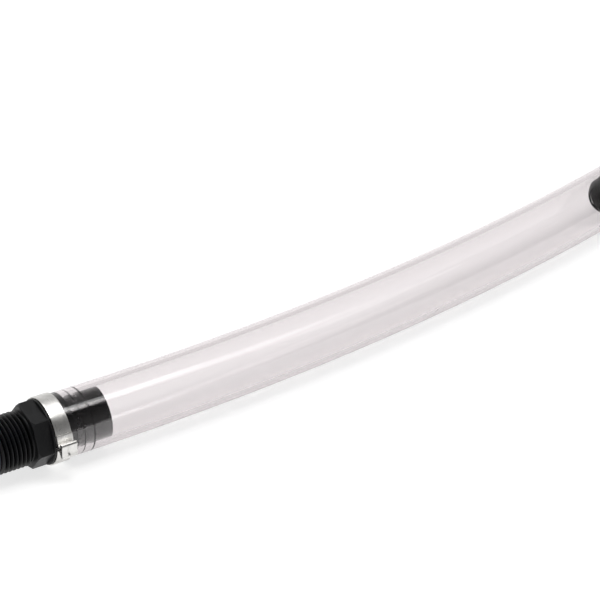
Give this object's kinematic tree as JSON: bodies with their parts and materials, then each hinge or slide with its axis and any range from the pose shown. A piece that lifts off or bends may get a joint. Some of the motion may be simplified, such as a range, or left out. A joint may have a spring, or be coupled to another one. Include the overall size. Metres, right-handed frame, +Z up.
{
  "type": "gravel vacuum siphon",
  "caption": "Clear curved siphon hose with a threaded outlet adapter, ear clamps, a ball foot valve and a slotted gravel guard.",
  "frame": {"origin": "centre of the outlet adapter's mouth, on the outlet's axis", "axes": "+X along the chord of the bent hose towards the intake, +Z up from the surface that the hose lies on, so the hose bends to +Y at both ends"},
  "size_m": [0.5547, 0.0614, 0.0336],
  "materials": {
    "clear_vinyl": "clear soft vinyl, faintly pink-grey, lightly scuffed",
    "black_moulding": "moulded black polypropylene with a slight sheen",
    "clamp_steel": "bright rolled stainless strip",
    "ball_rubber": "smooth black rubber",
    "seal_rubber": "matt black rubber"
  },
  "bodies": {
    "siphon": {"clear_hose": "clear_vinyl", "outlet_adapter": "black_moulding", "outlet_ear_clamp": "clamp_steel", "intake_adapter": "black_moulding", "intake_ear_clamp": "clamp_steel", "valve_seat_ring": "seal_rubber", "valve_cage": "black_moulding"},
    "ball": {"check_ball": "ball_rubber"},
    "guard": {"gravel_guard": "black_moulding", "guard_washer": "seal_rubber"},
    "nut": {"union_nut": "black_moulding"}
  },
  "joints": [
    {"name": "ball_travel", "type": "slide", "parent": "siphon", "child": "ball", "axis": [0.9925, 0.1222, 0], "range_m": [0, 0.011]},
    {"name": "guard_travel", "type": "slide", "parent": "siphon", "child": "guard", "axis": [0.9893, 0.1462, 0], "range_m": [0, 0.0178]},
    {"name": "nut_turn", "type": "hinge", "parent": "guard", "child": "nut", "pos_m": [0.49288, 0, 0], "axis": [0.9893, 0.1462, 0], "range_deg": [0, 2880]}
  ],
  "couplings": [
    {"joint": "guard_travel", "follows": "nut_turn", "m_per_rad": 0.00035157}
  ]
}
